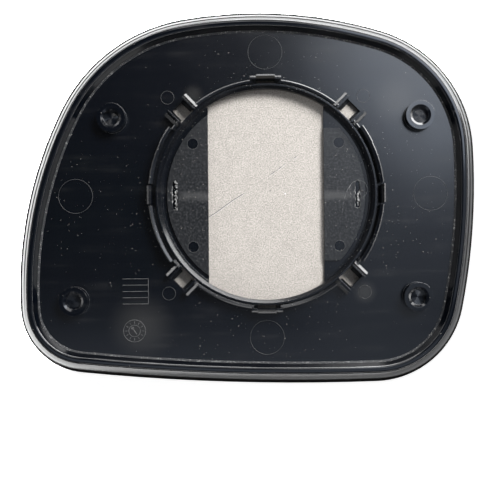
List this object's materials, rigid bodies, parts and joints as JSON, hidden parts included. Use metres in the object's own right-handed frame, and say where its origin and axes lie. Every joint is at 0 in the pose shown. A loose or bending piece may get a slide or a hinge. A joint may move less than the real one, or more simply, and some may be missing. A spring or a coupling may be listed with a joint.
{
  "type": "door mirror glass",
  "caption": "Door mirror glass bonded to a black moulded backing plate with a raised rim and a round clip ring that snaps onto the mirror's tilting actuator.",
  "frame": {"origin": "axis of the clip ring, at the level of the plate's floor, where the ring's inner wall starts", "axes": "+Z out of the back along the ring axis, +X to the right and +Y up as the back is seen in the picture"},
  "size_m": [0.1766, 0.1437, 0.0105],
  "materials": {
    "plate": "glossy as moulded, with flow streaks",
    "mirror": "silvered front, speckled grey-beige paint on the back",
    "pad": "matt foam tape"
  },
  "bodies": {
    "root": {"backing_plate": "plate", "mirror_glass": "mirror", "adhesive_pad": "pad"}
  },
  "joints": []
}
